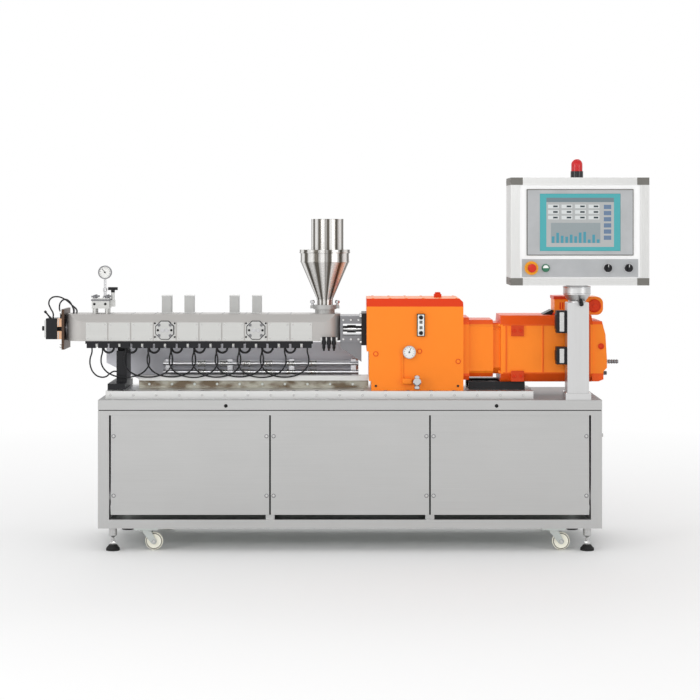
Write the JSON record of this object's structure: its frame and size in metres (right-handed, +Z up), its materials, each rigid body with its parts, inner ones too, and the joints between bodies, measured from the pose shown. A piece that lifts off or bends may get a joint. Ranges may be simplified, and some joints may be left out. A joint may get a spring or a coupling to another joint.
{
  "type": "laboratory extruder",
  "caption": "Bench-top twin-screw laboratory extruder: heated barrel under a steel hood, feed hopper, orange gearbox and motor, swivelling operator panel, sheet-metal bench on feet and casters.",
  "frame": {"origin": "centre of the footprint box on the floor", "axes": "+X from the die end to the motor end, +Y to the rear, +Z up"},
  "size_m": [2.772, 0.74, 1.771],
  "materials": {
    "stainless": "brushed",
    "bright_steel": "polished",
    "zinc": "zinc plated",
    "wheel": "moulded",
    "dark_steel": "machined",
    "black_paint": "satin",
    "black_plastic": "moulded",
    "rubber": "matt",
    "cable": "smooth",
    "copper": "heat tinted",
    "instrument": "glossy",
    "orange_paint": "gloss",
    "white_paint": "satin",
    "aluminium": "anodised",
    "grey_plastic": "moulded",
    "red_plastic": "translucent red",
    "white_plastic": "glossy"
  },
  "bodies": {
    "bench": {"frame_uprights": "stainless", "frame_rails": "stainless", "front_panels": "stainless", "back_panels": "stainless", "end_panels": "stainless", "table_top": "stainless", "foot_stems": "bright_steel", "foot_pads": "rubber", "caster_plates": "zinc", "machine_bed": "bright_steel", "cable_duct": "stainless", "rear_shield": "stainless", "cooling_manifolds": "dark_steel", "barrel_support": "black_paint", "barrel": "dark_steel", "barrel_hood": "stainless", "zone_plates": "stainless", "port_covers": "stainless", "port_stacks": "stainless", "heater_terminals": "black_plastic", "heater_cables": "cable", "die_plate": "bright_steel", "die_heaters": "copper", "die_body": "black_paint", "vent_block": "bright_steel", "vacuum_gauge": "instrument", "hopper_clamp": "bright_steel", "feed_funnel": "bright_steel", "hopper_tube": "bright_steel", "drive_lantern": "dark_steel", "screw_shafts": "bright_steel", "gearbox_flange": "black_paint", "gearbox_case": "orange_paint", "gearbox_fittings": "instrument", "bell_housing": "orange_paint", "motor_rails": "black_paint", "motor_body": "orange_paint", "motor_blower": "orange_paint", "water_tails": "bright_steel", "panel_mast": "stainless", "mast_connectors": "black_plastic"},
    "console": {"console_housing": "white_paint", "console_frame": "aluminium", "console_corners": "grey_plastic", "display_bezel": "grey_plastic", "control_strip": "grey_plastic", "beacon": "red_plastic"},
    "estop": {"estop_button": "red_plastic"},
    "start": {"start_button": "white_plastic"},
    "selector_a": {"selector_left": "black_plastic"},
    "selector_b": {"selector_right": "black_plastic"},
    "vent_valve": {"vent_handle": "black_plastic"},
    "caster_1": {"caster_fork_1": "zinc"},
    "wheel_1": {"caster_wheel_1": "wheel"},
    "caster_2": {"caster_fork_2": "zinc"},
    "wheel_2": {"caster_wheel_2": "wheel"},
    "caster_3": {"caster_fork_3": "zinc"},
    "wheel_3": {"caster_wheel_3": "wheel"},
    "caster_4": {"caster_fork_4": "zinc"},
    "wheel_4": {"caster_wheel_4": "wheel"}
  },
  "joints": [
    {"name": "panel_swivel", "type": "hinge", "parent": "bench", "child": "console", "pos_m": [1.076, -0.218, 1.2], "axis": [0, 0, 1], "range_deg": [-150, 150]},
    {"name": "estop_push", "type": "slide", "parent": "console", "child": "estop", "axis": [0, 1, 0], "range_m": [0, 0.006]},
    {"name": "start_push", "type": "slide", "parent": "console", "child": "start", "axis": [0, 1, 0], "range_m": [0, 0.004], "stiffness_N_per_m": 600},
    {"name": "selector_a_turn", "type": "hinge", "parent": "console", "child": "selector_a", "pos_m": [1.201, -0.33, 1.279], "axis": [0, 1, 0], "range_deg": [0, 90]},
    {"name": "selector_b_turn", "type": "hinge", "parent": "console", "child": "selector_b", "pos_m": [1.294, -0.33, 1.279], "axis": [0, 1, 0], "range_deg": [0, 90]},
    {"name": "vent_valve_turn", "type": "hinge", "parent": "bench", "child": "vent_valve", "pos_m": [-1.0575, 0, 1.17], "axis": [0, 0, 1], "range_deg": [0, 90]},
    {"name": "caster_1_swivel", "type": "hinge", "parent": "bench", "child": "caster_1", "pos_m": [-0.873, -0.235, 0.09], "axis": [0, 0, 1], "continuous": true},
    {"name": "caster_1_roll", "type": "hinge", "parent": "caster_1", "child": "wheel_1", "pos_m": [-0.839, -0.235, 0.043], "axis": [0, 1, 0], "continuous": true},
    {"name": "caster_2_swivel", "type": "hinge", "parent": "bench", "child": "caster_2", "pos_m": [0.967, -0.235, 0.09], "axis": [0, 0, 1], "continuous": true},
    {"name": "caster_2_roll", "type": "hinge", "parent": "caster_2", "child": "wheel_2", "pos_m": [1.001, -0.235, 0.043], "axis": [0, 1, 0], "continuous": true},
    {"name": "caster_3_swivel", "type": "hinge", "parent": "bench", "child": "caster_3", "pos_m": [-0.873, 0.325, 0.09], "axis": [0, 0, 1], "continuous": true},
    {"name": "caster_3_roll", "type": "hinge", "parent": "caster_3", "child": "wheel_3", "pos_m": [-0.839, 0.325, 0.043], "axis": [0, 1, 0], "continuous": true},
    {"name": "caster_4_swivel", "type": "hinge", "parent": "bench", "child": "caster_4", "pos_m": [0.967, 0.325, 0.09], "axis": [0, 0, 1], "continuous": true},
    {"name": "caster_4_roll", "type": "hinge", "parent": "caster_4", "child": "wheel_4", "pos_m": [1.001, 0.325, 0.043], "axis": [0, 1, 0], "continuous": true}
  ]
}
